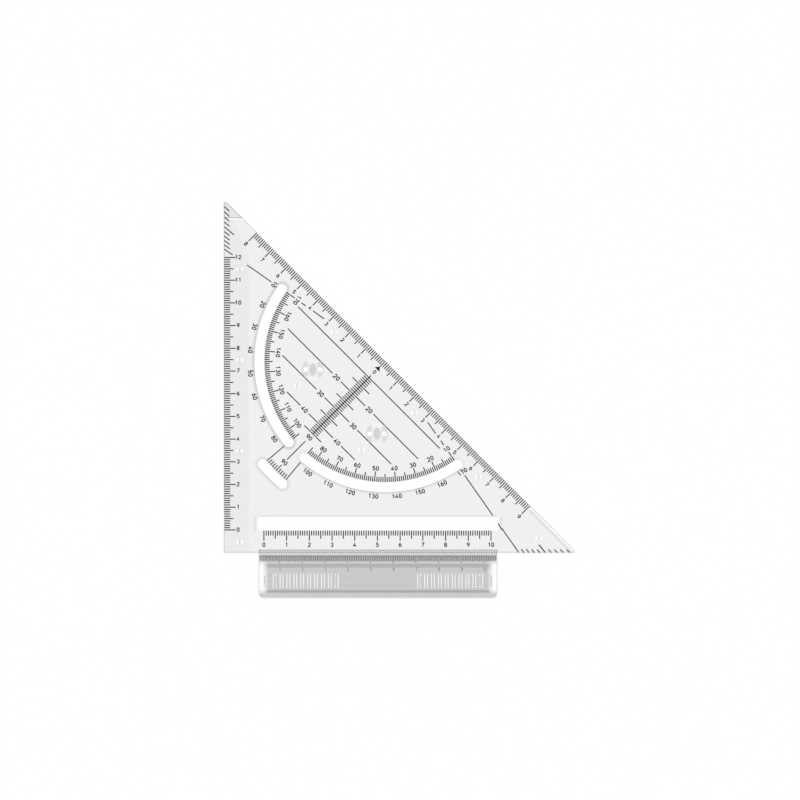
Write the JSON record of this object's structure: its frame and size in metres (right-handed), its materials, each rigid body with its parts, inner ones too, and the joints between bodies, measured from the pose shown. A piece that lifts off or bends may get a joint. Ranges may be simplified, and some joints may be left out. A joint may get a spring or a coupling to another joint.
{
  "type": "drafting triangle",
  "caption": "Clear 45 degree drafting triangle with a protractor of arc slots, printed millimetre scales and a ribbed push-on rail guide along its lower edge.",
  "frame": {"origin": "middle of the bounding box, on the paper under the ink nubs", "axes": "+X to the right along the bottom edge, +Y up the left leg, +Z away from the paper"},
  "size_m": [0.1546, 0.1744, 0.0071],
  "materials": {
    "clear_plate": "clear, polished",
    "clear_guide": "clear, slightly grey, polished",
    "print": "black screen print"
  },
  "bodies": {
    "plate": {"triangle_plate": "clear_plate", "leg_scale": "print", "slot_scale": "print", "hypotenuse_scale": "print", "square_lines": "print", "arc_scale": "print", "right_angle_scale": "print", "tip_scale": "print"},
    "guide": {"rail_guide": "clear_guide", "guide_scale": "print"}
  },
  "joints": [
    {"name": "guide_pull", "type": "slide", "parent": "plate", "child": "guide", "axis": [0, -1, 0], "range_m": [0, 0.03]}
  ]
}
